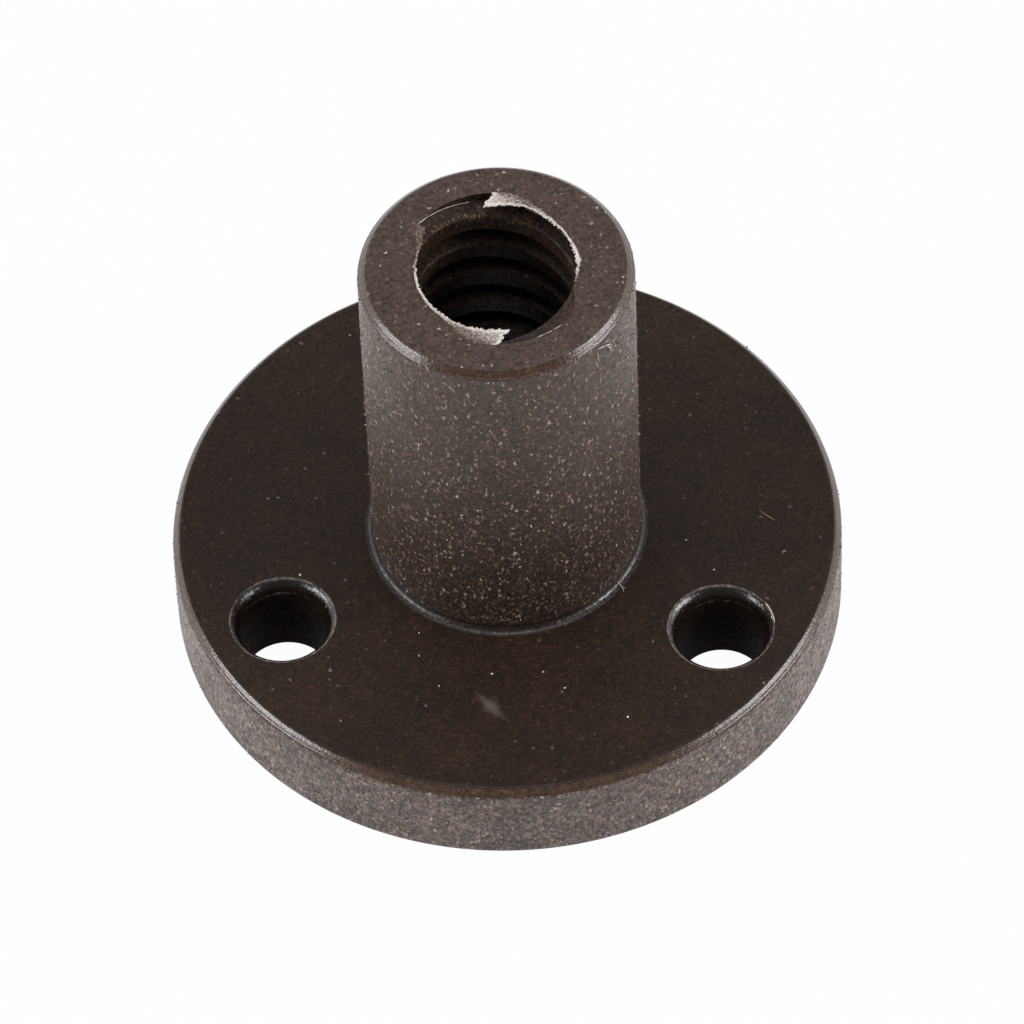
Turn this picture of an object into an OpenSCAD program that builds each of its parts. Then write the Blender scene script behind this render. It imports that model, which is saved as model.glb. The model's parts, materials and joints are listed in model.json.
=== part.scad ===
/* [Flange] */
// Outside diameter of the round flange, mm
flange_d = 25.4; // [22:0.1:40]
// Thickness of the flange, mm
flange_t = 3.6; // [2:0.1:8]
// Width of the chamfer round the upper edge of the flange, measured across its face, mm
flange_chamfer_w = 0.28; // [0.1:0.02:0.6]
// Height of the same chamfer, measured down the rim, mm
flange_chamfer_h = 0.32; // [0.1:0.02:0.8]

/* [Barrel] */
// Outside diameter of the barrel that stands on the flange, mm
barrel_d = 10.16; // [9:0.02:13]
// Length of the nut from the flange's underside to the barrel's end face, mm
nut_length = 18.8; // [10:0.1:40]
// Chamfer round the end of the barrel, mm
barrel_chamfer = 0.3; // [0.1:0.05:0.8]
// Radius of the fillet in the corner between barrel and flange, mm
base_fillet = 0.3; // [0.1:0.05:0.8]

/* [Bolt holes] */
// Number of bolt holes in the flange
hole_count = 3; // [2:1:6]
// Diameter of each bolt hole, a clearance hole for a 3 mm screw, mm
hole_d = 3.3; // [2.5:0.1:3.6]
// Distance from the middle of each bolt hole to the flange's rim, mm
hole_edge_distance = 3.175; // [2.6:0.025:4]
// Chamfer round the upper edge of each bolt hole, mm
hole_chamfer = 0.37; // [0.1:0.01:0.6]
// Angle of the first bolt hole from the +X axis, degrees
hole_turn = 85.7; // [0:0.1:120]

/* [Thread] */
// Diameter across the crests of the nut's thread, which is the clear bore, mm
thread_crest_d = 5.9; // [5:0.05:6.6]
// Diameter across the roots of the nut's thread, mm
thread_root_d = 7.2; // [6.8:0.05:8.2]
// Advance of the screw in one turn, mm
thread_lead = 3.175; // [2.5:0.005:6]
// Number of separate grooves, spaced evenly round the bore
thread_starts = 2; // [1:1:3]
// Width of the flat floor of each groove, mm
groove_floor_w = 0.49; // [0.3:0.01:0.7]
// Lean of each groove flank away from square to the axis, degrees
flank_angle = 15; // [5:1:25]
// Angle from the +X axis where the middle of a groove meets the barrel's end face, degrees
thread_turn = 112; // [0:1:180]

/* [Hidden] */
$fn = 96;

flange_r = flange_d / 2;
barrel_r = barrel_d / 2;
hole_r = hole_d / 2;
// Radius of the circle that the bolt holes stand on
bolt_circle_r = flange_r - hole_edge_distance;
thread_crest_r = thread_crest_d / 2;
thread_root_r = thread_root_d / 2;

// How far each cutting shape runs past the face or wall that it cuts through
cut_over = 0.5;
// The groove cutter's inner edge lies inside the bore
cutter_inner_r = thread_crest_r - cut_over;
// Straight steps that stand for one turn of a groove
steps_per_turn = 36;
// A groove starts and ends wholly outside the nut
groove_mouth_w = groove_floor_w + 2 * (thread_root_r - cutter_inner_r) * tan(flank_angle);
groove_run = nut_length + 2 * (groove_mouth_w + cut_over);
groove_steps = ceil(groove_run / thread_lead * steps_per_turn);

// Half of the turned section, on the +X side of the axis
module half_section() {
    // Flange, with its upper edge broken
    polygon([
        [0, 0],
        [flange_r, 0],
        [flange_r, flange_t - flange_chamfer_h],
        [flange_r - flange_chamfer_w, flange_t],
        [0, flange_t]
    ]);
    // Barrel, with its end edge broken
    polygon([
        [0, 0],
        [barrel_r, 0],
        [barrel_r, nut_length - barrel_chamfer],
        [barrel_r - barrel_chamfer, nut_length],
        [0, nut_length]
    ]);
    // Fillet in the corner
    translate([barrel_r, flange_t])
        difference() {
            square(base_fillet);
            translate([base_fillet, base_fillet])
                circle(base_fillet);
        }
}

// One through hole with its upper edge broken, on the Z axis
module bolt_hole() {
    translate([0, 0, -cut_over])
        cylinder(h = flange_t + 2 * cut_over, r = hole_r);
    // The cone carries on past the face at the same 45 degree slope
    translate([0, 0, flange_t - hole_chamfer])
        cylinder(h = hole_chamfer + cut_over, r1 = hole_r, r2 = hole_r + hole_chamfer + cut_over);
}

// Half the groove's width at radius r
function groove_half_w(r) = groove_floor_w / 2 + (thread_root_r - r) * tan(flank_angle);

// The four corners of the groove's section at one step of a right-hand helix
function groove_section(step, start) =
    let (
        rise = step / steps_per_turn * thread_lead - (groove_mouth_w + cut_over),
        turn = thread_turn + 360 * (start / thread_starts + (rise - nut_length) / thread_lead)
    )
    [
        for (corner = [[cutter_inner_r, -1], [thread_root_r, -1], [thread_root_r, 1], [cutter_inner_r, 1]])
            [
                corner[0] * cos(turn),
                corner[0] * sin(turn),
                rise + corner[1] * groove_half_w(corner[0])
            ]
    ];

// One helical groove, swept from below the flange to above the barrel
module groove(start) {
    sections = [for (step = [0:groove_steps]) groove_section(step, start)];
    corners = [for (section = sections) each section];
    last = 4 * groove_steps;
    sides = [
        for (step = [0:groove_steps - 1], side = [0:3])
            let (a = 4 * step + side, b = 4 * step + (side + 1) % 4)
            each [[a, b + 4, a + 4], [a, b, b + 4]]
    ];
    ends = [[3, 2, 1, 0], [last, last + 1, last + 2, last + 3]];
    polyhedron(corners, concat(sides, ends), convexity = 10);
}

// The whole nut, turned, drilled and threaded as one piece
module flange_nut() {
    color("#3a322e")
        difference() {
            rotate_extrude()
                half_section();
            translate([0, 0, -cut_over])
                cylinder(h = nut_length + 2 * cut_over, r = thread_crest_r);
            for (start = [0:thread_starts - 1])
                groove(start);
            for (hole = [0:hole_count - 1])
                rotate(hole_turn + 360 * hole / hole_count)
                    translate([bolt_circle_r, 0, 0])
                        bolt_hole();
        }
}

flange_nut();
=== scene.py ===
"""Looks of a one-piece lead screw flange nut, turned and threaded from fibre-filled acetal.

Pieces are modelled in millimetres about the bore's axis, with the flange's underside at zero height,
and scaled to metres when they are finished. Angles are degrees round the axis from +X.
"""

import json
import logging
import math
import random
from collections.abc import Callable, Iterable
from dataclasses import dataclass, field
from enum import Enum

import bpy
from mathutils import Matrix, Vector, noise


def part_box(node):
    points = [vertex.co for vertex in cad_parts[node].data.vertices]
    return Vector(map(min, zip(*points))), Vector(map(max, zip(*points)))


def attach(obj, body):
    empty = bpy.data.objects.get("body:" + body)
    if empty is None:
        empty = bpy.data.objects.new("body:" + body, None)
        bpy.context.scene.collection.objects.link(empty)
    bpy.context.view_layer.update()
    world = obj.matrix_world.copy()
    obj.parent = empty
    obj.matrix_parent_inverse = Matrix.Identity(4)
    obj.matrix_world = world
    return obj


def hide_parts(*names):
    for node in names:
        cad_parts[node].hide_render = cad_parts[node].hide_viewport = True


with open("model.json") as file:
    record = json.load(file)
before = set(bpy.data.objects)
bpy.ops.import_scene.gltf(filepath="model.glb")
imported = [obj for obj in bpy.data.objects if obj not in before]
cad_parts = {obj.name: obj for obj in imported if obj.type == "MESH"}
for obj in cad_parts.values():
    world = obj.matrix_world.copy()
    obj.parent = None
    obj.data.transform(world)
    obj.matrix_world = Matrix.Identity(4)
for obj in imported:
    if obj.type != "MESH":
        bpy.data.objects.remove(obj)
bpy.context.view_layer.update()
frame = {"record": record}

Tree = bpy.types.NodeTree
Socket = bpy.types.NodeSocket
Piece = bpy.types.Object

LOG = logging.getLogger("lead_screw_flange_nut")

NODE = "flange_nut"
BODY = "root"

METRES_PER_MM = 0.001
MM_PER_METRE = 1000.0
# Two places nearer than this, in millimetres, count as the same place
NEAR = 1e-3
# An edge that runs up a whole wall is taller than this, in millimetres
TALL = 1.0
# Upward part of the normal from which a face looks up, is level, and is flat enough to be shaded flat
UPWARD = 0.9
LEVEL = 0.99
FLAT = 0.999
# Upward part of the normal up to which a face in a bolt hole counts as upright wall
UPRIGHT = 0.1
# Greatest difference in that part between a chamfer and a face that belongs to it
CHAMFER_SLACK = 0.15
# Angles between faces, in degrees, from which their edge stays sharp: on the cut body and on torn flash
CREASE = 30.0
TORN_CREASE = 50.0


class Surface(Enum):
    """Regions of the nut that were cut in different ways."""

    FLANGE_FACE = 0
    END_FACE = 1
    BARREL_WALL = 2
    RIM = 3
    BROKEN_EDGE = 4
    # Top of a bolt hole's rounded lip, painted pale as a painted sheen
    WORN_EDGE = 5
    CORNER_FILLET = 6
    HOLE_WALL = 7
    HOLE_EDGE = 8
    THREAD = 9
    UNDERSIDE = 10


class Axis(Enum):
    """Direction across which a cutting tool leaves its feed marks."""

    RADIUS = "radius"
    HEIGHT = "height"


def linear_colour(code: str) -> tuple[float, float, float, float]:
    """Turns an sRGB hex colour into the linear colour that a shader takes.

    Args:
        code: Six hex digits, red first.

    Returns:
        Linear red, green and blue with an alpha of one.
    """
    shares = [int(code[at:at + 2], 16) / 255 for at in (0, 2, 4)]
    red, green, blue = (s / 12.92 if s <= 0.04045 else ((s + 0.055) / 1.055) ** 2.4 for s in shares)
    return red, green, blue, 1.0


def add_node(tree: Tree, kind: str, inputs: dict[str | int, object] | None = None,
             **settings: object) -> bpy.types.Node:
    """Adds one node with its settings, its input values and its links.

    Args:
        tree: Node tree that takes the node.
        kind: Blender's name for the node type.
        inputs: Value or output socket for each input, by the input's name or number.
        settings: Properties of the node itself.

    Returns:
        The new node.
    """
    node = tree.nodes.new(kind)
    for name, value in settings.items():
        setattr(node, name, value)
    for key, value in (inputs or {}).items():
        if isinstance(value, Socket):
            tree.links.new(value, node.inputs[key])
        else:
            node.inputs[key].default_value = value
    return node


def blank_material(name: str) -> tuple[bpy.types.Material, Tree]:
    """Makes a material with an empty node tree.

    Args:
        name: Name of the real material and of how its surface was made.

    Returns:
        The material and its node tree.
    """
    material = bpy.data.materials.new(name)
    material.use_nodes = True
    material.node_tree.nodes.clear()
    return material, material.node_tree


def activate(piece: Piece) -> None:
    """Selects one piece alone and makes it active.

    Args:
        piece: Object that the next operators act on.
    """
    bpy.ops.object.select_all(action="DESELECT")
    piece.select_set(True)
    bpy.context.view_layer.objects.active = piece


def start_piece(name: str) -> Piece:
    """Names the primitive that was just added.

    Args:
        name: Name of the piece.

    Returns:
        The active object under its new name.
    """
    piece = bpy.context.object
    piece.name = name
    piece.data.name = name
    return piece


def pick_faces(piece: Piece, test: Callable[[Vector, Vector], bool]) -> None:
    """Enters edit mode with the faces selected that pass a test.

    Args:
        piece: Active mesh object.
        test: Takes a face's centre and its normal.
    """
    bpy.ops.object.mode_set(mode="EDIT")
    bpy.ops.mesh.select_mode(type="FACE")
    bpy.ops.mesh.select_all(action="DESELECT")
    bpy.ops.object.mode_set(mode="OBJECT")
    for face in piece.data.polygons:
        face.select = test(face.center, face.normal)
    bpy.ops.object.mode_set(mode="EDIT")


def looks_up(centre: Vector, normal: Vector) -> bool:
    """Tells whether a face looks up, wherever its centre is."""
    return normal.z > UPWARD


def pick_edges(piece: Piece, test: Callable[[Vector, Vector], bool]) -> None:
    """Enters edit mode with the edges selected that pass a test.

    Args:
        piece: Active mesh object.
        test: Takes the places of an edge's two ends.
    """
    bpy.ops.object.mode_set(mode="EDIT")
    bpy.ops.mesh.select_mode(type="EDGE")
    bpy.ops.mesh.select_all(action="DESELECT")
    bpy.ops.object.mode_set(mode="OBJECT")
    points = [vertex.co for vertex in piece.data.vertices]
    for edge in piece.data.edges:
        first, second = edge.vertices
        edge.select = test(points[first], points[second])
    bpy.ops.object.mode_set(mode="EDIT")


def leave_edit() -> None:
    """Goes back to object mode."""
    bpy.ops.object.mode_set(mode="OBJECT")


def draw_up(height: float, widening: float = 1.0) -> None:
    """Extrudes the selected faces upward and scales them about the origin's axis.

    Args:
        height: How far up they go.
        widening: Their new size against the old one.
    """
    bpy.ops.mesh.extrude_region_move(TRANSFORM_OT_translate={"value": (0, 0, height)})
    bpy.ops.transform.resize(value=(widening, widening, 1), center_override=(0, 0, 0))


def apply_modifier(piece: Piece, kind: str, **settings: object) -> None:
    """Adds one modifier to the piece and applies it.

    Args:
        piece: Mesh object.
        kind: Blender's name for the modifier type.
        settings: Properties of the modifier.
    """
    activate(piece)
    bpy.ops.object.modifier_add(type=kind)
    modifier = piece.modifiers[-1]
    for name, value in settings.items():
        setattr(modifier, name, value)
    bpy.ops.object.modifier_apply(modifier=modifier.name)


def cut_away(piece: Piece, cutter: Piece) -> None:
    """Cuts one closed shape out of another and deletes the cutter.

    Args:
        piece: Mesh object that loses the shape.
        cutter: Closed mesh object.
    """
    apply_modifier(piece, "BOOLEAN", operation="DIFFERENCE", solver="EXACT", object=cutter)
    bpy.data.objects.remove(cutter, do_unlink=True)


def join_pieces(pieces: list[Piece]) -> Piece:
    """Joins several mesh objects into the first of them.

    Args:
        pieces: Mesh objects, each with its own mesh.

    Returns:
        The first object, which now holds them all.
    """
    bpy.ops.object.select_all(action="DESELECT")
    for piece in pieces:
        piece.select_set(True)
    bpy.context.view_layer.objects.active = pieces[0]
    if len(pieces) > 1:
        bpy.ops.object.join()
    return pieces[0]


def draw_line(name: str, points: list[Vector]) -> Piece:
    """Draws an open line of edges by extruding one vertex from point to point.

    Args:
        name: Name of the piece.
        points: Corners of the line in order.

    Returns:
        Mesh object that holds the line alone.
    """
    bpy.ops.mesh.primitive_plane_add(size=1, location=points[0])
    line = start_piece(name)
    bpy.ops.object.transform_apply(location=True, rotation=True, scale=True)
    bpy.ops.object.mode_set(mode="EDIT")
    bpy.ops.mesh.select_mode(type="VERT")
    bpy.ops.mesh.select_all(action="SELECT")
    bpy.ops.mesh.merge(type="CENTER")
    for here, there in zip(points, points[1:]):
        bpy.ops.mesh.extrude_vertices_move(TRANSFORM_OT_translate={"value": there - here})
    leave_edit()
    return line


def place_copy(piece: Piece, seat: Matrix) -> Piece:
    """Copies a piece with a mesh of its own and puts the copy in place.

    Args:
        piece: Mesh object to copy.
        seat: Matrix that takes the copy's mesh to its place.

    Returns:
        The copy.
    """
    copy = piece.copy()
    copy.data = piece.data.copy()
    copy.data.transform(seat)
    bpy.context.collection.objects.link(copy)
    return copy


def ring_distance(point: Vector) -> float:
    """Gives the distance of a point from the bore's axis."""
    return math.hypot(point.x, point.y)


def on_ring(point: Vector, radius: float, height: float) -> bool:
    """Tells whether a point lies on a circle about the axis, in millimetres."""
    return abs(ring_distance(point) - radius) < NEAR and abs(point.z - height) < NEAR


def polar(radius: float, turn: float, height: float) -> Vector:
    """Gives the place at a radius, an angle in degrees and a height."""
    angle = math.radians(turn)
    return Vector((radius * math.cos(angle), radius * math.sin(angle), height))


def mix(low: float, high: float, share: float) -> float:
    """Gives the value that lies a share of the way from low to high."""
    return low + (high - low) * share


def smooth(share: float) -> float:
    """Clamps a share to 0 to 1 and eases it at both ends."""
    share = min(max(share, 0.0), 1.0)
    return share * share * (3 - 2 * share)


def mount_sizes(name: str) -> dict[str, float]:
    """Looks up the sizes of one of the part's mounts.

    Args:
        name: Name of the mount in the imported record.

    Returns:
        The mount's sizes in millimetres.
    """
    return next(mount["dims"] for mount in frame["record"]["mounts"] if mount["name"] == name)


@dataclass(frozen=True)
class Flecks:
    """Ends of filler fibres that show in a cut face as small spots of another colour.

    Attributes:
        colour: sRGB hex colour of the spots.
        spacing_mm: Distance between neighbouring fibre ends.
        size_mm: Diameter of a spot. It is drawn about a pixel wide, so that it shows.
        share: Share of the fibre ends that have this colour.
        strength: How much of the colour shows in the most vivid spots.
        faintest: Strength of the faintest spots against the most vivid.
        rarity: Power that makes vivid spots rare and faint ones common.
        fade: Distances from a spot's middle, against its radius, where it starts and ends to fade.
    """

    colour: str
    spacing_mm: float
    size_mm: float
    share: float
    strength: float = 1.0
    faintest: float = 0.15
    rarity: float = 2.5
    fade: tuple[float, float] = (0.5, 1.4)

    def mask(self, tree: Tree, place: Socket) -> Socket:
        """Adds the nodes that are one on a spot and zero between spots.

        Args:
            tree: Material's node tree.
            place: Position on the object in millimetres.

        Returns:
            Socket with the spots' strength.
        """
        cells = add_node(tree, "ShaderNodeTexVoronoi", {"Vector": place, "Scale": 1 / self.spacing_mm})
        draws = add_node(tree, "ShaderNodeSeparateColor", {0: cells.outputs["Color"]})
        near, far = (share * self.size_mm / self.spacing_mm / 2 for share in self.fade)
        rare = add_node(tree, "ShaderNodeMath", {0: draws.outputs["Green"], 1: self.rarity},
                        operation="POWER")
        vivid = add_node(tree, "ShaderNodeMapRange",
                         {"Value": rare.outputs[0], "To Min": self.faintest * self.strength,
                          "To Max": self.strength})
        spot = add_node(tree, "ShaderNodeMapRange",
                        {"Value": cells.outputs["Distance"], "From Min": near, "From Max": far,
                         "To Min": vivid.outputs[0], "To Max": 0.0})
        chosen = add_node(tree, "ShaderNodeMath", {0: draws.outputs["Red"], 1: self.share},
                          operation="LESS_THAN")
        shown = add_node(tree, "ShaderNodeMath", {0: spot.outputs[0], 1: chosen.outputs[0]},
                         operation="MULTIPLY")
        return shown.outputs[0]


# Acetal's index of refraction, and the roughness of a nap of broken fibres
ACETAL_IOR = 1.48
NAP_ROUGHNESS = 0.4
# How far the bends move grains and fibre ends, against the bends' own size
BEND_REACH = 2.5
# How strongly the hue of single filler grains varies, against their shade
HUE_SHARE = 0.25


@dataclass(frozen=True)
class FilledAcetal:
    """Dark acetal filled with pale fibres, as one way of cutting leaves it.

    Attributes:
        name: Name of the material and of how its surface was made.
        dark: sRGB hex colour of the hollows.
        light: sRGB hex colour of the high spots.
        roughness: Roughness of the high spots and of the hollows.
        specular: Strength of the surface's gloss against that of smooth acetal, which is 0.5.
        glint: sRGB hex tint of the gloss.
        fuzz: How much the surface is veiled by a nap of broken fibres, from 0 to 1.
        grain_mm: Size of one grain.
        grain_relief_mm: Height of the grain.
        grain_edge: Grain values that become fully dark and fully light.
        mottle_mm: Size of the broad cloudy patches.
        mottle: How far the patches shift the colour between dark and light.
        flecks: Kinds of fibre ends that show.
        speckle: How far the shade of single filler grains departs from the rest, from 0 to 1.
        speckle_mm: Size of a filler grain. It is drawn two or three pixels wide, so that it shows.
        warp_mm: Size of the bends that make grains and fibre ends uneven.
        drawn_out: Length of grains and fibre ends along the bar against their width.
        feed_mm: Spacing of the tool's feed marks.
        feed_relief_mm: Depth of the feed marks.
        feed_across: Direction across which the feed marks lie.
    """

    name: str
    dark: str
    light: str
    roughness: tuple[float, float] = (0.4, 0.6)
    specular: float = 0.3
    glint: str = "ffffff"
    fuzz: float = 0.0
    grain_mm: float = 0.1
    grain_relief_mm: float = 0.01
    grain_edge: tuple[float, float] = (0.3, 0.7)
    mottle_mm: float = 1.5
    mottle: float = 0.2
    flecks: tuple[Flecks, ...] = ()
    speckle: float = 0.4
    speckle_mm: float = 0.08
    warp_mm: float = 0.09
    drawn_out: float = 1.0
    feed_mm: float = 0.1
    feed_relief_mm: float = 0.0
    feed_across: Axis = Axis.RADIUS

    def material(self) -> bpy.types.Material:
        """Builds the material.

        Returns:
            Material with its node tree.
        """
        material, tree = blank_material(self.name)
        coordinates = add_node(tree, "ShaderNodeTexCoord")
        place = add_node(tree, "ShaderNodeVectorMath",
                         {0: coordinates.outputs["Object"], "Scale": MM_PER_METRE},
                         operation="SCALE").outputs[0]
        drawn = add_node(tree, "ShaderNodeVectorMath", {0: place, 1: (1.0, 1.0, 1 / self.drawn_out)},
                         operation="MULTIPLY").outputs[0]
        grain = add_node(tree, "ShaderNodeTexNoise",
                         {"Vector": drawn, "Scale": 1 / self.grain_mm, "Detail": 3.0,
                          "Roughness": 0.65}).outputs[0]
        tone = self._tone(tree, place, grain)
        colour = add_node(tree, "ShaderNodeMix",
                          {0: tone, 6: linear_colour(self.dark), 7: linear_colour(self.light)},
                          data_type="RGBA").outputs[2]
        bent = self._bend(tree, drawn)
        colour = self._speckles(tree, bent, colour)
        for kind in self.flecks:
            colour = add_node(tree, "ShaderNodeMix",
                              {0: kind.mask(tree, bent), 6: colour, 7: linear_colour(kind.colour)},
                              data_type="RGBA").outputs[2]
        colour = self._marks(tree, place, colour)
        on_high_spots, in_hollows = self.roughness
        roughness = add_node(tree, "ShaderNodeMapRange",
                             {"Value": tone, "To Min": in_hollows, "To Max": on_high_spots}).outputs[0]
        shader = add_node(tree, "ShaderNodeBsdfPrincipled",
                          {"Base Color": colour, "Roughness": roughness, "IOR": ACETAL_IOR,
                           "Specular IOR Level": self.specular, "Specular Tint": linear_colour(self.glint),
                           "Sheen Weight": self.fuzz, "Sheen Roughness": NAP_ROUGHNESS,
                           "Sheen Tint": linear_colour(self.glint),
                           "Normal": self._relief(tree, place, grain)})
        add_node(tree, "ShaderNodeOutputMaterial", {"Surface": shader.outputs[0]})
        return material

    def _tone(self, tree: Tree, place: Socket, grain: Socket) -> Socket:
        """Adds the share of light colour, from the grain and the broad patches.

        Args:
            tree: Material's node tree.
            place: Position on the object in millimetres.
            grain: Grain from 0 to 1.

        Returns:
            Socket with the share of the light colour.
        """
        low, high = self.grain_edge
        patches = add_node(tree, "ShaderNodeTexNoise",
                           {"Vector": place, "Scale": 1 / self.mottle_mm, "Detail": 4.0,
                            "Roughness": 0.6}).outputs[0]
        shift = add_node(tree, "ShaderNodeMapRange",
                         {"Value": patches, "From Min": 0.3, "From Max": 0.7,
                          "To Min": -self.mottle, "To Max": self.mottle}, clamp=False).outputs[0]
        share = add_node(tree, "ShaderNodeMapRange",
                         {"Value": grain, "From Min": low, "From Max": high}, clamp=False).outputs[0]
        return add_node(tree, "ShaderNodeMath", {0: share, 1: shift}, operation="ADD",
                        use_clamp=True).outputs[0]

    def _bend(self, tree: Tree, place: Socket) -> Socket:
        """Warps the position a little, so that the spots are uneven.

        Args:
            tree: Material's node tree.
            place: Position on the object in millimetres.

        Returns:
            Socket with the warped position.
        """
        drift = add_node(tree, "ShaderNodeTexNoise",
                         {"Vector": place, "Scale": 1 / self.warp_mm, "Detail": 1.0}).outputs["Color"]
        reach = BEND_REACH * self.warp_mm
        return add_node(tree, "ShaderNodeVectorMath", {0: drift, 1: (reach, reach, reach), 2: place},
                        operation="MULTIPLY_ADD").outputs[0]

    def _speckles(self, tree: Tree, place: Socket, colour: Socket) -> Socket:
        """Gives each filler grain a shade and a slight hue of its own.

        Args:
            tree: Material's node tree.
            place: Warped position on the object in millimetres.
            colour: Colour without the speckles.

        Returns:
            Socket with the speckled colour.
        """
        cells = add_node(tree, "ShaderNodeTexVoronoi",
                         {"Vector": place, "Scale": 1 / self.speckle_mm}).outputs["Color"]
        shade = add_node(tree, "ShaderNodeSeparateColor", {0: cells}).outputs["Red"]
        for strength, layer in ((self.speckle, shade), (HUE_SHARE * self.speckle, cells)):
            colour = add_node(tree, "ShaderNodeMix", {0: strength, 6: colour, 7: layer},
                              data_type="RGBA", blend_type="OVERLAY").outputs[2]
        return colour

    def _marks(self, tree: Tree, place: Socket, colour: Socket) -> Socket:
        """Adds what lies on this surface alone, which is nothing on a plain one."""
        return colour

    def _relief(self, tree: Tree, place: Socket, grain: Socket) -> Socket:
        """Adds the grain's relief and the tool's feed marks.

        Args:
            tree: Material's node tree.
            place: Position on the object in millimetres.
            grain: Grain from 0 to 1.

        Returns:
            Socket with the shading normal.
        """
        relief = add_node(tree, "ShaderNodeBump",
                          {"Height": grain, "Strength": 1.0,
                           "Distance": self.grain_relief_mm * METRES_PER_MM})
        if self.feed_relief_mm == 0:
            return relief.outputs[0]
        if self.feed_across is Axis.RADIUS:
            flat = add_node(tree, "ShaderNodeVectorMath", {0: place, 1: (1.0, 1.0, 0.0)},
                            operation="MULTIPLY").outputs[0]
            across = add_node(tree, "ShaderNodeVectorMath", {0: flat}, operation="LENGTH").outputs["Value"]
        else:
            across = add_node(tree, "ShaderNodeSeparateXYZ", {0: place}).outputs["Z"]
        feed = add_node(tree, "ShaderNodeTexNoise",
                        {"W": across, "Scale": 1 / self.feed_mm, "Detail": 2.0},
                        noise_dimensions="1D").outputs[0]
        marks = add_node(tree, "ShaderNodeBump",
                         {"Height": feed, "Strength": 1.0, "Distance": self.feed_relief_mm * METRES_PER_MM,
                          "Normal": relief.outputs[0]})
        return marks.outputs[0]


@dataclass(frozen=True)
class ScuffedAcetal(FilledAcetal):
    """Filled acetal with one dull, diamond-shaped scuff on it.

    Attributes:
        scuff_middle: X and Y of the scuff's middle.
        scuff_turn: Angle of its long axis, in degrees.
        scuff_length: Length of the scuff in millimetres.
        scuff_width: Width of the scuff in millimetres.
        scuff_colour: sRGB hex colour of the scuff.
        scuff_strength: How much of that colour shows.
        shred_mm: Size of the shreds that fray the scuff's edge.
        fray: Distances from the middle, against half the scuff, where it starts and ends to fade.
    """

    scuff_middle: tuple[float, float] = (-0.9, -8.59)
    scuff_turn: float = -50.5
    scuff_length: float = 1.8
    scuff_width: float = 0.7
    scuff_colour: str = "665b57"
    scuff_strength: float = 0.75
    shred_mm: float = 1 / 9
    fray: tuple[float, float] = (0.8, 1.7)

    def _marks(self, tree: Tree, place: Socket, colour: Socket) -> Socket:
        """Lays the scuff over the colour.

        Args:
            tree: Material's node tree.
            place: Position on the object in millimetres.
            colour: Colour without the scuff.

        Returns:
            Socket with the colour and the scuff.
        """
        along = polar(2 / self.scuff_length, self.scuff_turn, 0)
        across = polar(2 / self.scuff_width, self.scuff_turn + 90, 0)
        offset = add_node(tree, "ShaderNodeVectorMath", {0: place, 1: (*self.scuff_middle, 0.0)},
                          operation="SUBTRACT").outputs[0]
        reach = 0.0
        for way in (along, across):
            part = add_node(tree, "ShaderNodeVectorMath", {0: offset, 1: way},
                            operation="DOT_PRODUCT").outputs["Value"]
            size = add_node(tree, "ShaderNodeMath", {0: part}, operation="ABSOLUTE").outputs[0]
            reach = add_node(tree, "ShaderNodeMath", {0: size, 1: reach}, operation="ADD").outputs[0]
        shreds = add_node(tree, "ShaderNodeTexNoise",
                          {"Vector": place, "Scale": 1 / self.shred_mm, "Detail": 4.0}).outputs[0]
        edge = add_node(tree, "ShaderNodeMath", {0: shreds, 1: 1.2, 2: reach},
                        operation="MULTIPLY_ADD").outputs[0]
        shown = add_node(tree, "ShaderNodeMapRange",
                         {"Value": edge, "From Min": self.fray[0], "From Max": self.fray[1],
                          "To Min": self.scuff_strength, "To Max": 0.0}).outputs[0]
        return add_node(tree, "ShaderNodeMix", {0: shown, 6: colour, 7: linear_colour(self.scuff_colour)},
                        data_type="RGBA").outputs[2]


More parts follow.
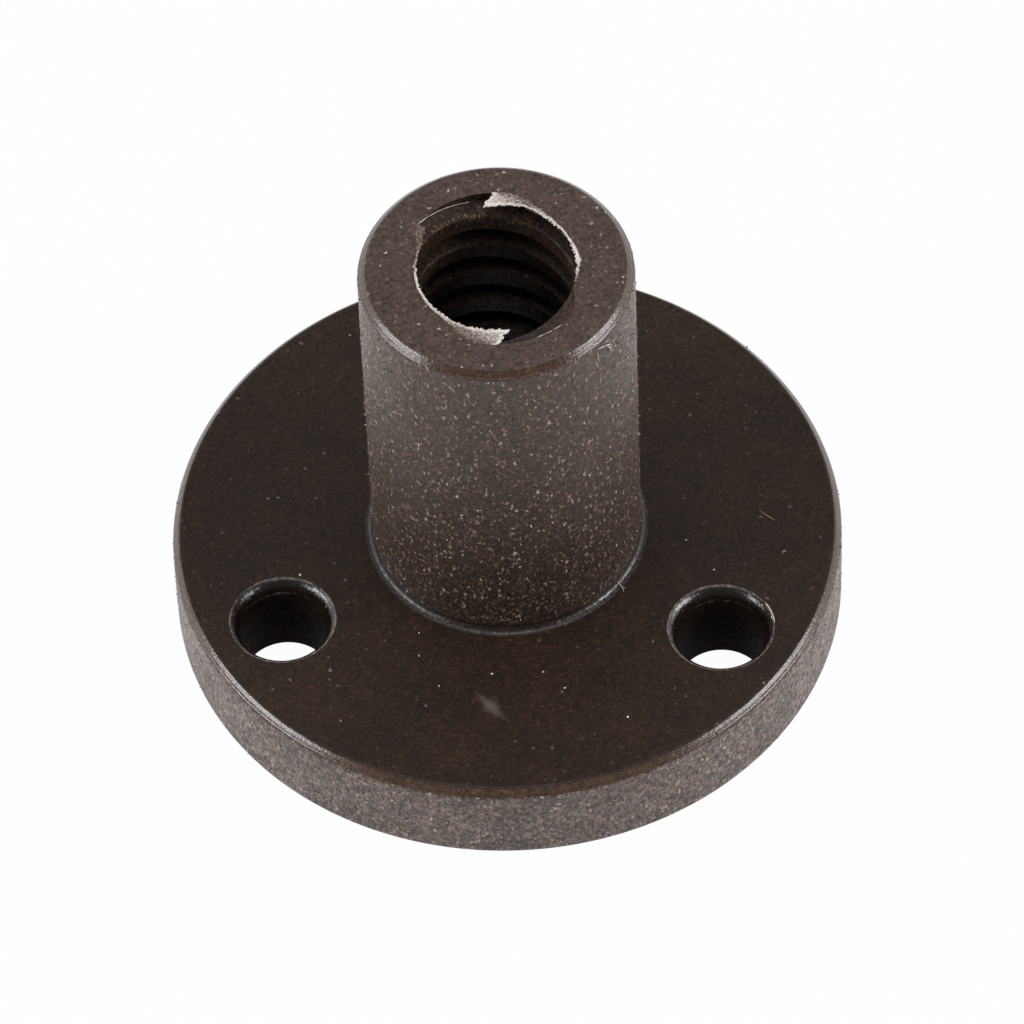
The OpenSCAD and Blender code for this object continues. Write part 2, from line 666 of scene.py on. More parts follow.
@dataclass(frozen=True)
class TornAcetal:
    """Acetal that was stretched until it tore, which turns it chalky white where it is thinnest.

    Attributes:
        name: Name of the material and of how its surface was made.
        thick: sRGB hex colour where it is thick enough to stay tan.
        thin: sRGB hex colour where it is stretched white.
        shred_mm: Size of the torn shreds.
        shred_relief_mm: Height of the torn shreds.
        roughness: Roughness of the torn surface.
        specular: Strength of its gloss against that of smooth acetal, which is 0.5.
    """

    name: str
    thick: str
    thin: str
    shred_mm: float = 0.08
    shred_relief_mm: float = 0.02
    roughness: float = 0.6
    specular: float = 0.3

    def material(self, whiteness: str) -> bpy.types.Material:
        """Builds the material.

        Args:
            whiteness: Name of the mesh attribute that is one where the acetal is stretched white.

        Returns:
            Material with its node tree.
        """
        material, tree = blank_material(self.name)
        stretched = add_node(tree, "ShaderNodeAttribute", attribute_name=whiteness).outputs["Fac"]
        coordinates = add_node(tree, "ShaderNodeTexCoord").outputs["Object"]
        shreds = add_node(tree, "ShaderNodeTexNoise",
                          {"Vector": coordinates, "Scale": MM_PER_METRE / self.shred_mm,
                           "Detail": 3.0}).outputs[0]
        uneven = add_node(tree, "ShaderNodeMapRange",
                          {"Value": shreds, "From Min": 0.3, "From Max": 0.7,
                           "To Min": -0.35, "To Max": 0.3}).outputs[0]
        share = add_node(tree, "ShaderNodeMath", {0: stretched, 1: uneven}, operation="ADD",
                         use_clamp=True).outputs[0]
        colour = add_node(tree, "ShaderNodeMix",
                          {0: share, 6: linear_colour(self.thick), 7: linear_colour(self.thin)},
                          data_type="RGBA").outputs[2]
        relief = add_node(tree, "ShaderNodeBump",
                          {"Height": shreds, "Strength": 1.0,
                           "Distance": self.shred_relief_mm * METRES_PER_MM}).outputs[0]
        shader = add_node(tree, "ShaderNodeBsdfPrincipled",
                          {"Base Color": colour, "Roughness": self.roughness, "IOR": ACETAL_IOR,
                           "Specular IOR Level": self.specular, "Normal": relief})
        add_node(tree, "ShaderNodeOutputMaterial", {"Surface": shader.outputs[0]})
        return material


# Fibre ends on a rough wall: many tan spots and fewer white ones
WALL_FLECKS = (
    Flecks("a67b56", spacing_mm=0.16, size_mm=0.1, share=0.85, strength=0.95),
    Flecks("e2d9d2", spacing_mm=0.16, size_mm=0.10, share=0.45, strength=0.7),
)
# Fibre ends that a facing cut sliced clean, close together on the barrel's end
END_FLECKS = (
    Flecks("9a7459", spacing_mm=0.24, size_mm=0.10, share=0.5, strength=0.8),
    Flecks("e0d7d0", spacing_mm=0.26, size_mm=0.10, share=0.4, strength=0.9),
)
# The same on the flange, where they are few and small
FLANGE_FLECKS = (
    Flecks("74503a", spacing_mm=0.30, size_mm=0.10, share=0.4, strength=0.6),
    Flecks("b5aca6", spacing_mm=0.36, size_mm=0.10, share=0.3, strength=0.5),
)

# A fine facing cut leaves both sides of the flange a dark satin plane with faint clouds and few fibre ends
FLANGE_FACING = {
    "dark": "1e140e", "light": "35271d", "roughness": (0.36, 0.46), "specular": 0.3, "grain_mm": 0.16,
    "grain_relief_mm": 0.006, "mottle_mm": 2.5, "mottle": 0.3, "flecks": FLANGE_FLECKS, "speckle": 0.4,
    "feed_mm": 0.12, "feed_relief_mm": 0.002,
}
# The upper side has one dull scuff
FACED_FLANGE = ScuffedAcetal("acetal, fibre-filled, faced flange", **FLANGE_FACING)
# The underside is clean
FACED_UNDERSIDE = FilledAcetal("acetal, fibre-filled, faced underside", **FLANGE_FACING)
# The end face was cut at a slower surface speed, so it is a shade paler and shows more grain
FACED_END = FilledAcetal(
    "acetal, fibre-filled, faced end", "392d28", "574841", roughness=(0.4, 0.55), specular=0.35,
    grain_mm=0.16, grain_relief_mm=0.015, mottle_mm=0.9, mottle=0.25, flecks=END_FLECKS, speckle=0.48,
    speckle_mm=0.07, feed_mm=0.1, feed_relief_mm=0.002)
# The barrel keeps the rough skin of the bar stock: dark hollows and high spots with a warm grey shine
ROUGH_BARREL = FilledAcetal(
    "acetal, fibre-filled, rough barrel", "0d0704", "35261c", roughness=(0.25, 0.38), specular=0.95,
    glint="ffe9de", fuzz=0.2, grain_mm=0.1, grain_relief_mm=0.055, grain_edge=(0.4, 0.6), mottle_mm=1.2,
    mottle=0.35, flecks=WALL_FLECKS, speckle=0.7, speckle_mm=0.075, drawn_out=1.5)
# The rim is as rough as the barrel but drier and greyer
ROUGH_RIM = FilledAcetal(
    "acetal, fibre-filled, rough rim", "191310", "665b55", roughness=(0.3, 0.5), specular=0.75,
    glint="ffeee6", fuzz=0.2, grain_mm=0.15, grain_relief_mm=0.07, grain_edge=(0.38, 0.62), mottle_mm=1.0,
    mottle=0.3, flecks=WALL_FLECKS, speckle=1.0, speckle_mm=0.085, drawn_out=1.4)
# A form tool broke the edges: burnished brown bands with a few fine rings that catch the light
BURNISHED_EDGE = FilledAcetal(
    "acetal, fibre-filled, burnished edge", "38271d", "594336", roughness=(0.14, 0.24), specular=1.0,
    grain_mm=0.16, grain_relief_mm=0.015, mottle_mm=0.7, mottle=0.3, flecks=FLANGE_FLECKS, speckle=0.4,
    feed_mm=0.09, feed_relief_mm=0.035)
# The top of each bolt hole's rounded lip is painted pale in patches: a painted sheen where the lip catches
# the light
PAINTED_LIP_SHEEN = FilledAcetal(
    "acetal, fibre-filled, lip with painted sheen", "2c2420", "7a6f69", roughness=(0.4, 0.6), specular=0.5,
    grain_mm=0.15, grain_relief_mm=0.03, mottle_mm=0.5, mottle=0.5, speckle=0.6)
# The tool's nose left a dark fillet in the corner, glossy in some places and dull in others
BURNISHED_FILLET = FilledAcetal(
    "acetal, fibre-filled, burnished fillet", "1a120e", "33261f", roughness=(0.18, 0.45), specular=0.7,
    grain_mm=0.25, grain_relief_mm=0.03, mottle_mm=1.6, mottle=0.5, flecks=FLANGE_FLECKS, speckle=0.4)
# The drilled wall is dull and painted dark: painted shade inside the bolt hole
HOLE_WALL_PAINTED_SHADE = FilledAcetal(
    "acetal, fibre-filled, drilled, painted shade", "0f0a08", "241a15", roughness=(0.5, 0.6), specular=0.02,
    grain_mm=0.16, grain_relief_mm=0.01, mottle_mm=0.8, mottle=0.2, speckle=0.5)
# The countersink burnished the hole's edge. Its colour is painted dark, painted shade at the hole's mouth,
# and its gloss catches two small glints
COUNTERSINK_PAINTED_SHADE = FilledAcetal(
    "acetal, fibre-filled, countersunk, painted shade", "0d0806", "261a14", roughness=(0.18, 0.28), specular=1.0,
    grain_mm=0.2, grain_relief_mm=0.03, mottle_mm=0.5, mottle=0.35, flecks=FLANGE_FLECKS, speckle=0.5)
# The tap left dark flanks with brown and pale smears of fibre
TAPPED_THREAD = FilledAcetal(
    "acetal, fibre-filled, tapped thread", "120d0a", "4a382c", roughness=(0.35, 0.55), specular=0.25,
    grain_mm=0.12, grain_relief_mm=0.03, grain_edge=(0.36, 0.7), mottle_mm=0.5, mottle=0.25, speckle=0.4,
    flecks=(Flecks("86644a", 0.2, 0.11, 0.25, 0.6), Flecks("b5aaa2", 0.3, 0.09, 0.12, 0.6)))

FINISHES = {
    Surface.FLANGE_FACE: FACED_FLANGE,
    Surface.END_FACE: FACED_END,
    Surface.BARREL_WALL: ROUGH_BARREL,
    Surface.RIM: ROUGH_RIM,
    Surface.BROKEN_EDGE: BURNISHED_EDGE,
    Surface.WORN_EDGE: PAINTED_LIP_SHEEN,
    Surface.CORNER_FILLET: BURNISHED_FILLET,
    Surface.HOLE_WALL: HOLE_WALL_PAINTED_SHADE,
    Surface.HOLE_EDGE: COUNTERSINK_PAINTED_SHADE,
    Surface.THREAD: TAPPED_THREAD,
    Surface.UNDERSIDE: FACED_UNDERSIDE,
}

# Torn scraps are dull, whatever their colour
TORN_ROUGHNESS = (0.5, 0.6)
# Broken fibre ends: dull white or tan slivers
PALE_FIBRE = FilledAcetal("fluoropolymer fibre, broken pale", "7d736c", "cbc3bc", roughness=TORN_ROUGHNESS,
                          grain_mm=0.2, grain_edge=(0.4, 0.6))
TAN_FIBRE = FilledAcetal("fluoropolymer fibre, broken tan", "5a4434", "a5825f", roughness=TORN_ROUGHNESS,
                         grain_mm=0.2, grain_edge=(0.4, 0.6))
# Fresh swarf is stretched thin, which turns it white
WHITE_SWARF = FilledAcetal("acetal, fibre-filled, white swarf", "c2b8b0", "f4efea", roughness=TORN_ROUGHNESS,
                           grain_mm=0.05)
# A sliver of the brown skin that the facing cut rubbed into the flange
BROWN_SWARF = FilledAcetal("acetal, fibre-filled, brown swarf", "7a6048", "a4876a", roughness=TORN_ROUGHNESS,
                           grain_mm=0.08)
# Crumbs of the feathered crest that stayed thick enough to be brown
TORN_BROWN = FilledAcetal("acetal, fibre-filled, torn brown", "443323", "957350", roughness=TORN_ROUGHNESS,
                          grain_mm=0.1)
# Flash at the thread's mouth: brown where it is thick, chalky white where it was stretched until it tore
TORN_WHITE = TornAcetal("acetal, fibre-filled, torn white", "5e4c41", "f0e8e1")


@dataclass
class FlangeNut:
    """The nut's one turned, drilled and threaded body. Sizes are in millimetres.

    Attributes:
        flange_r: Radius of the flange.
        length: Height from the flange's underside to the barrel's end face.
        barrel_r: Radius of the barrel.
        crest_r: Radius of the thread's crests, which is the clear bore.
        hole_r: Radius of a bolt hole.
        bolt_circle_r: Radius of the circle that the bolt holes stand on.
        hole_count: Number of bolt holes.
        flange_t: Thickness of the flange.
        flange_chamfer_w: Width of the chamfer round the flange's upper edge.
        flange_chamfer_h: Height of the same chamfer.
        barrel_chamfer: Chamfer round the barrel's end.
        base_fillet: Radius of the fillet between barrel and flange.
        edge_break: Break of the underside's edge.
        corner_round: Rounding of the chamfers' corners.
        corner_steps: Number of flats across such a rounding.
        hole_lip: Distance outward from the hole's wall and drop below the face along the hole's rounded lip.
        hole_turn: Angle of the first bolt hole.
        hole_reach: Distance from a hole's middle, in hole radii, within which a sloping face is its own.
        root_r: Radius of the thread's roots.
        lead: Advance of the thread in one turn.
        starts: Number of grooves.
        groove_floor_w: Width of a groove's floor.
        flank_angle: Lean of a groove's flanks.
        thread_turn: Angle where the middle of a groove meets the end face.
        back_ridge_turn: Angle where the crest of the ridge behind that groove meets the end face.
        crest_break: Break of the crests' edges.
        cut_over: How far each cutter runs past the face that it cuts through.
        sides: Number of flats round the outside.
        hole_sides: Number of flats round a hole.
        steps_per_turn: Number of steps in one turn of the thread.
        fillet_steps: Number of flats across the fillet.
        barrel_rows: Rows of faces up the barrel.
        rim_rows: Rows of faces up the rim.
        wall_grain: Size of the lumps in the rough skin.
        wall_relief: Height of those lumps on the barrel.
        wall_level: Value of the skin's noise that leaves the wall where it is.
        rim_share: Height of the lumps on the rim against those on the barrel.
    """

    flange_r: float
    length: float
    barrel_r: float
    crest_r: float
    hole_r: float
    bolt_circle_r: float
    hole_count: int
    flange_t: float = 3.6
    flange_chamfer_w: float = 0.28
    flange_chamfer_h: float = 0.32
    barrel_chamfer: float = 0.3
    base_fillet: float = 0.3
    edge_break: float = 0.03
    corner_round: float = 0.08
    corner_steps: int = 4
    hole_lip: tuple[tuple[float, float], ...] = (
        (0.0, 0.55), (0.05, 0.39), (0.10, 0.27), (0.15, 0.18), (0.22, 0.1), (0.31, 0.03), (0.38, 0.0))
    hole_turn: float = 85.7
    hole_reach: float = 1.5
    root_r: float = 3.6
    lead: float = 3.175
    starts: int = 2
    groove_floor_w: float = 0.49
    flank_angle: float = 15.0
    thread_turn: float = 112.0
    back_ridge_turn: float = 160.0
    crest_break: float = 0.05
    cut_over: float = 0.5
    sides: int = 512
    hole_sides: int = 96
    steps_per_turn: int = 96
    fillet_steps: int = 8
    barrel_rows: int = 116
    rim_rows: int = 20
    wall_grain: float = 0.17
    wall_relief: float = 0.09
    wall_level: float = 0.55
    rim_share: float = 0.6

    @classmethod
    def from_frame(cls) -> "FlangeNut":
        """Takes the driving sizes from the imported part.

        Returns:
            A nut of the part's size.
        """
        low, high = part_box(NODE)
        bolts = mount_sizes("flange_bolts")
        return cls(
            flange_r=(high.x - low.x) / 2 * MM_PER_METRE,
            length=(high.z - low.z) * MM_PER_METRE,
            barrel_r=mount_sizes("barrel")["r_mm"],
            crest_r=mount_sizes("lead_screw")["r_mm"],
            hole_r=bolts["hole_r_mm"],
            bolt_circle_r=bolts["pcd_mm"] / 2,
            hole_count=int(bolts["count"]),
        )

    def build(self) -> Piece:
        """Turns, threads and drills the body, sorts its surfaces and roughens its walls.

        Returns:
            The finished body in millimetres.
        """
        nut = self._turn_blank()
        cut_away(nut, self._thread_cutter())
        for cutter in self._hole_cutters():
            cut_away(nut, cutter)
        self._dress(nut)
        self._roughen(nut)
        return nut

    def _turn_blank(self) -> Piece:
        """Turns the outside: flange, barrel, broken edges and the fillet between them.

        Returns:
            The blank, closed and without holes.
        """
        rim_h = self.flange_t - self.flange_chamfer_h
        face_r = self.flange_r - self.flange_chamfer_w
        bpy.ops.mesh.primitive_cylinder_add(vertices=self.sides, radius=self.flange_r, depth=rim_h,
                                            location=(0, 0, rim_h / 2))
        blank = start_piece("nut_body")
        bpy.ops.object.transform_apply(location=True, rotation=True, scale=True)
        pick_faces(blank, looks_up)
        draw_up(self.flange_chamfer_h, face_r / self.flange_r)
        bpy.ops.mesh.inset(thickness=face_r - self.barrel_r)
        draw_up(self.length - self.flange_t)
        leave_edit()
        self._bevel_ring(blank, self.barrel_r, self.length, self.barrel_chamfer, 1)
        self._bevel_ring(blank, self.barrel_r, self.flange_t, self.base_fillet, self.fillet_steps)
        self._bevel_ring(blank, self.flange_r, 0.0, self.edge_break, 2)
        for radius, height in (
            (self.flange_r, rim_h),
            (face_r, self.flange_t),
            (self.barrel_r, self.length - self.barrel_chamfer),
            (self.barrel_r - self.barrel_chamfer, self.length),
        ):
            self._bevel_ring(blank, radius, height, self.corner_round, self.corner_steps)
        return blank

    def _bevel_ring(self, blank: Piece, radius: float, height: float, width: float, steps: int) -> None:
        """Bevels one round edge of the blank.

        Args:
            blank: Active mesh object.
            radius: Radius of the edge.
            height: Height of the edge.
            width: Width of the bevel.
            steps: Number of flats across the bevel.
        """
        pick_edges(blank, lambda *ends: all(on_ring(end, radius, height) for end in ends))
        bpy.ops.mesh.bevel(offset=width, segments=steps, affect="EDGES")
        leave_edit()

    def _thread_profile(self) -> list[tuple[float, float]]:
        """Works out the section of the tapped bore over one lead, with its crests' edges broken.

        Returns:
            Radius and height of each corner, from the middle of one crest to the middle of the last.
        """
        pitch = self.lead / self.starts
        lean = math.tan(math.radians(self.flank_angle))
        floor = self.groove_floor_w / 2
        mouth = floor + (self.root_r - self.crest_r) * lean
        broken = floor + (self.root_r - self.crest_r - self.crest_break) * lean
        half = [(self.crest_r, mouth + self.crest_break), (self.crest_r + self.crest_break, broken),
                (self.root_r, floor)]
        points = [(self.crest_r, 0.0)]
        for start in range(self.starts):
            middle = (start + 0.5) * pitch
            points += [(radius, middle - side) for radius, side in half]
            points += [(radius, middle + side) for radius, side in reversed(half)]
        return points + [(self.crest_r, self.lead)]

    def _thread_cutter(self) -> Piece:
        """Models the tapped bore as a closed solid that runs past both ends of the nut.

        Returns:
            The cutter.
        """
        pitch = self.lead / self.starts
        at_zero_turn = self.length - self.lead * self.thread_turn / 360
        below = math.ceil((at_zero_turn + self.lead + self.cut_over) / pitch)
        bottom = at_zero_turn - (below + 0.5) * pitch
        turns = math.ceil((self.length + self.cut_over - bottom) / self.lead)
        corners = [Vector((radius, 0, bottom + height)) for radius, height in self._thread_profile()]
        cutter = draw_line("thread_cutter", corners)
        apply_modifier(cutter, "SCREW", axis="Z", angle=2 * math.pi, screw_offset=self.lead,
                       iterations=turns, steps=self.steps_per_turn, render_steps=self.steps_per_turn,
                       use_smooth_shade=False)
        bpy.ops.object.mode_set(mode="EDIT")
        bpy.ops.mesh.select_all(action="SELECT")
        bpy.ops.mesh.remove_doubles(threshold=NEAR)
        bpy.ops.mesh.bisect(plane_co=(0, 0, -self.cut_over), plane_no=(0, 0, 1), use_fill=True,
                            clear_inner=True)
        bpy.ops.mesh.select_all(action="SELECT")
        bpy.ops.mesh.bisect(plane_co=(0, 0, self.length + self.cut_over), plane_no=(0, 0, 1), use_fill=True,
                            clear_outer=True)
        bpy.ops.mesh.select_all(action="SELECT")
        bpy.ops.mesh.normals_make_consistent(inside=False)
        leave_edit()
        return cutter

    def _hole_cutters(self) -> Iterable[Piece]:
        """Models the drill and its countersink once and copies them to each bolt hole.

        Yields:
            One closed cutter for each hole.
        """
        straight = self.flange_t - self.hole_lip[0][1] + self.cut_over
        bpy.ops.mesh.primitive_cylinder_add(vertices=self.hole_sides, radius=self.hole_r, depth=straight,
                                            location=(0, 0, straight / 2 - self.cut_over))
        drill = start_piece("hole_cutter")
        bpy.ops.object.transform_apply(location=True, rotation=True, scale=True)
        pick_faces(drill, looks_up)
        rings = [(self.hole_r + outward, -drop) for outward, drop in self.hole_lip]
        rings.append((rings[-1][0], self.cut_over))
        for (radius, height), (next_radius, next_height) in zip(rings, rings[1:]):
            draw_up(next_height - height, next_radius / radius)
        leave_edit()
        for hole in range(self.hole_count):
            yield place_copy(drill, Matrix.Translation(self.hole_place(hole)))
        bpy.data.objects.remove(drill, do_unlink=True)

    def hole_place(self, hole: int) -> Vector:
        """Gives the middle of a bolt hole on the flange's underside."""
        return polar(self.bolt_circle_r, self.hole_turn + 360 * hole / self.hole_count, 0)

    def surface_at(self, centre: Vector, normal: Vector) -> Surface:
        """Tells which cut made a face.

        Args:
            centre: Middle of the face.
            normal: Outward normal of the face.

        Returns:
            The surface that the face belongs to.
        """
        radius = ring_distance(centre)
        level = abs(normal.z) > LEVEL
        for hole in range(self.hole_count):
            off_middle = ring_distance(centre - self.hole_place(hole))
            if not level and off_middle < self.hole_reach * self.hole_r:
                # The top of the lip gets the pale colour of a painted sheen
                if normal.z > UPWARD:
                    return Surface.WORN_EDGE
                # The countersink and the wall below it are painted dark, as painted shade inside the hole
                return Surface.HOLE_EDGE if normal.z > UPRIGHT else Surface.HOLE_WALL
        if level and centre.z < NEAR:
            return Surface.UNDERSIDE
        if level and abs(centre.z - self.flange_t) < NEAR:
            return Surface.FLANGE_FACE
        if level and abs(centre.z - self.length) < NEAR:
            return Surface.END_FACE
        if radius < (self.root_r + self.barrel_r) / 2:
            return Surface.THREAD
        if radius > self.flange_r - 2 * self.flange_chamfer_w:
            lean = self.flange_chamfer_w / math.hypot(self.flange_chamfer_w, self.flange_chamfer_h)
            return self._edge_part(normal.z, lean, Surface.RIM, Surface.FLANGE_FACE)
        if centre.z > self.length - 2 * self.barrel_chamfer:
            return self._edge_part(normal.z, math.sqrt(0.5), Surface.BARREL_WALL, Surface.END_FACE)
        if centre.z < self.flange_t + self.base_fillet:
            return Surface.CORNER_FILLET
        return Surface.BARREL_WALL

    def _edge_part(self, rise: float, chamfer_rise: float, wall: Surface, face: Surface) -> Surface:
        """Tells wall, chamfer and level face apart.

        Args:
            rise: Upward part of the face's normal.
            chamfer_rise: Upward part of the chamfer's normal.
            wall: Surface below the chamfer.
            face: Surface above the chamfer.

        Returns:
            The surface that the face belongs to.
        """
        if abs(rise - chamfer_rise) < CHAMFER_SLACK:
            return Surface.BROKEN_EDGE
        return face if rise > chamfer_rise else wall

    def back_ridge_height(self, turn: float) -> float:
        """Gives the height of the back ridge's upper crest edge at an angle."""
        return self.length - self.lead * (self.back_ridge_turn - turn) / 360

    def _dress(self, nut: Piece) -> None:
        """Gives each face the finish of the cut that made it, and shades flat planes flat.

        Args:
            nut: The threaded and drilled body.
        """
        for surface in Surface:
            nut.data.materials.append(FINISHES[surface].material())
        activate(nut)
        bpy.ops.object.shade_smooth_by_angle(angle=math.radians(CREASE))
        for face in nut.data.polygons:
            face.material_index = self.surface_at(face.center, face.normal).value
            face.use_smooth = abs(face.normal.z) < FLAT

    def _roughen(self, nut: Piece) -> None:
        """Gives the barrel's wall and the flange's rim the broken skin of the bar stock.

        Args:
            nut: The dressed body.
        """
        activate(nut)
        for radius, rows in ((self.barrel_r, self.barrel_rows), (self.flange_r, self.rim_rows)):
            pick_edges(nut, lambda first, second: abs(first.z - second.z) > TALL
                       and all(abs(ring_distance(end) - radius) < NEAR for end in (first, second)))
            bpy.ops.mesh.subdivide_edgering(number_cuts=rows, interpolation="LINEAR")
            leave_edit()
        rough = nut.vertex_groups.new(name="rough_walls")
        for vertex in nut.data.vertices:
            rough.add([vertex.index], self._roughness_at(vertex.co), "REPLACE")
        skin = bpy.data.textures.new("bar stock skin", type="CLOUDS")
        skin.noise_scale = self.wall_grain
        skin.noise_depth = 2
        apply_modifier(nut, "DISPLACE", texture=skin, texture_coords="LOCAL", vertex_group=rough.name,
                       strength=self.wall_relief, mid_level=self.wall_level)

    def _roughness_at(self, point: Vector) -> float:
        """Tells how rough the skin is at a point.

        Args:
            point: Place on the nut.

        Returns:
            One on the barrel's wall, less on the rim and zero elsewhere.
        """
        radius = ring_distance(point)
        if abs(radius - self.barrel_r) < NEAR and point.z > self.flange_t + self.base_fillet + NEAR:
            return 1.0
        if abs(radius - self.flange_r) < NEAR and point.z > 2 * self.edge_break:
            return self.rim_share
        return 0.0


@dataclass(frozen=True)
class LipStation:
    """Torn lip at one angle along a ridge's run-out. Sizes are in millimetres.

    Attributes:
        turn: Angle past the place where the ridge's crest first meets the end face.
        inner: Distance outward from the crest's circle to the lip's inner edge.
        outer: Distance outward from the crest's circle to the lip's outer edge.
        white: How white the lip is stretched at its inner edge, from 0 to 1.
        veil: How white it is from there to its outer edge.
    """

    turn: float
    inner: float
    outer: float
    white: float
    veil: float


@dataclass
class MouthBurr:
    """Torn flash round the thread's mouth, where the two ridges run out to feather edges.

    Attributes:
        nut: The nut that carries the burr.
        ridge_turn: Angle where the first ridge's crest meets the end face.
        lips: Shape of the lip along each ridge.
        torn_back: How much sooner the flash ends at its outer edge than at its inner one, in degrees.
        thickness: Thickness of the flash.
        lift: How far the lip's inner edge curls up.
        ragged: How far the inner edge wanders.
        torn_depth: How far the torn end wanders, in degrees.
        bead: Share of the lip's width that is rolled into a white bead.
        columns: Steps along a lip.
        rows: Steps across a lip.
        attribute: Name of the mesh attribute that holds the whiteness.
    """

    nut: FlangeNut
    ridge_turn: float = -20.0
    lips: tuple[tuple[LipStation, ...], ...] = (
        (
            LipStation(4, 0.03, 0.05, 0.2, 0.2),
            LipStation(16, 0.03, 0.10, 0.8, 0.7),
            LipStation(25, 0.03, 0.19, 1.0, 1.0),
            LipStation(33, 0.03, 0.15, 1.0, 1.0),
            LipStation(42, 0.02, 0.09, 1.0, 0.9),
            LipStation(58, 0.02, 0.11, 1.0, 0.9),
            LipStation(70, 0.03, 0.17, 1.0, 0.6),
            LipStation(80, 0.10, 0.30, 1.0, 0.25),
            LipStation(88, 0.11, 0.46, 1.0, 0.12),
            LipStation(98, 0.05, 0.62, 1.0, 0.3),
            LipStation(108, 0.0, 0.66, 1.0, 0.6),
            LipStation(117, -0.02, 0.66, 1.0, 0.85),
        ),
        (
            LipStation(-19, 0.34, 0.69, 0.0, 0.0),
            LipStation(-14, 0.17, 0.52, 0.0, 0.0),
            LipStation(-8, 0.06, 0.31, 0.0, 0.0),
            LipStation(-3, 0.01, 0.14, 0.1, 0.0),
            LipStation(4, 0.0, 0.03, 0.2, 0.2),
            LipStation(22, 0.0, 0.04, 0.7, 0.6),
            LipStation(30, 0.0, 0.06, 1.0, 0.9),
            LipStation(50, 0.0, 0.05, 1.0, 0.9),
            LipStation(64, 0.0, 0.07, 1.0, 0.7),
            LipStation(76, 0.0, 0.18, 1.0, 0.25),
            LipStation(84, 0.02, 0.40, 0.9, 0.12),
            LipStation(92, 0.02, 0.58, 0.9, 0.15),
            LipStation(106, 0.0, 0.66, 0.9, 0.42),
            LipStation(117, 0.0, 0.66, 1.0, 0.75),
        ),
    )
    torn_back: float = 8.0
    thickness: float = 0.05
    lift: float = 0.05
    ragged: float = 0.05
    torn_depth: float = 3.0
    bead: float = 0.3
    columns: int = 320
    rows: int = 10
    attribute: str = "whiteness"

    def build(self) -> Piece:
        """Models the lip of each ridge and joins them.

        Returns:
            The burr in millimetres.
        """
        burr = join_pieces([self._lip(start) for start in range(self.nut.starts)])
        burr.data.materials.append(TORN_WHITE.material(self.attribute))
        activate(burr)
        bpy.ops.object.shade_smooth_by_angle(angle=math.radians(TORN_CREASE))
        return burr

    def station(self, start: int, turn: float) -> LipStation:
        """Blends the two stations on either side of an angle.

        Args:
            start: Number of the ridge.
            turn: Angle along the ridge.

        Returns:
            The lip at that angle.
        """
        for first, second in zip(self.lips[start], self.lips[start][1:]):
            if turn <= second.turn:
                break
        share = smooth((turn - first.turn) / (second.turn - first.turn))
        return LipStation(turn, mix(first.inner, second.inner, share), mix(first.outer, second.outer, share),
                          mix(first.white, second.white, share), mix(first.veil, second.veil, share))

    def _lip(self, start: int) -> Piece:
        """Spins a radial line along one ridge, pulls it ragged and gives it its thickness.

        Args:
            start: Number of the ridge.

        Returns:
            One lip.
        """
        crest = self.nut.crest_r
        sweep = self.lips[start][-1].turn - self.lips[start][0].turn
        start_line = [Vector((crest + row / self.rows, 0, 0)) for row in range(self.rows + 1)]
        lip = draw_line("mouth_burr", start_line)
        bpy.ops.object.mode_set(mode="EDIT")
        bpy.ops.mesh.select_all(action="SELECT")
        bpy.ops.mesh.spin(steps=self.columns, angle=math.radians(sweep), center=(0, 0, 0), axis=(0, 0, 1))
        leave_edit()
        white = lip.data.attributes.new(self.attribute, "FLOAT", "POINT")
        for vertex in lip.data.vertices:
            along = abs(math.degrees(math.atan2(vertex.co.y, vertex.co.x))) / sweep
            across = ring_distance(vertex.co) - crest
            vertex.co, white.data[vertex.index].value = self._torn_place(start, along, across)
        lip.data.update()
        bpy.ops.object.mode_set(mode="EDIT")
        bpy.ops.mesh.select_all(action="SELECT")
        if lip.data.polygons[0].normal.z < 0:
            bpy.ops.mesh.flip_normals()
        leave_edit()
        apply_modifier(lip, "SOLIDIFY", thickness=self.thickness, offset=-1.0)
        return lip

    def _torn_place(self, start: int, along: float, across: float) -> tuple[Vector, float]:
        """Works out where one point of the flash was torn to.

        Args:
            start: Number of the ridge.
            along: Share of the way along the lip.
            across: Share of the way from the inner edge to the outer edge.

        Returns:
            The place and its whiteness.
        """
        first, last = self.lips[start][0].turn, self.lips[start][-1].turn
        shred = (noise.noise(Vector((across * 5, start * 7.3, 2.1)))
                 + 0.6 * noise.noise(Vector((across * 14, start, 8.4))))
        end = last - self.torn_back * across + self.torn_depth * shred
        turn = mix(first, end, along)
        station = self.station(start, turn)
        teeth = (noise.noise(Vector((turn * 0.3, start * 5.1, 0.7)))
                 + 0.8 * noise.noise(Vector((turn * 0.9, start, 4.2))))
        beads = noise.noise(Vector((turn * 0.45, start * 2.9, 6.3)))
        inner = station.inner + self.ragged * teeth
        outer = max(station.outer + 0.6 * self.ragged * beads, inner + 0.02)
        width = outer - inner
        radius = self.nut.crest_r + inner + width * across
        in_bead = 1 - smooth(across * width / max(self.bead * width, 0.08))
        curl = 0.6 + 0.8 * noise.noise(Vector((turn * 0.5, start * 3.7, across * 3)))
        height = self.nut.length + 0.01 + self.lift * curl * in_bead
        place = polar(radius, self.ridge_turn + 360 * start / self.nut.starts + turn, height)
        at_end = smooth(1 - (1 - along) * (last - first) / 6)
        veil = station.veil * (1 - 0.8 * smooth(2 * across - 1) * (1 - at_end))
        return place, max(mix(veil, station.white, in_bead), 0.9 * at_end)


def gather(name: str, pieces: list[Piece], finish: FilledAcetal) -> Piece:
    """Joins what repeats into one named piece and dresses it.

    Args:
        name: Name of the piece.
        pieces: Mesh objects to join.
        finish: Look of them all.

    Returns:
        The joined piece.
    """
    piece = join_pieces(pieces)
    piece.name = name
    piece.data.name = name
    piece.data.materials.append(finish.material())
    return piece


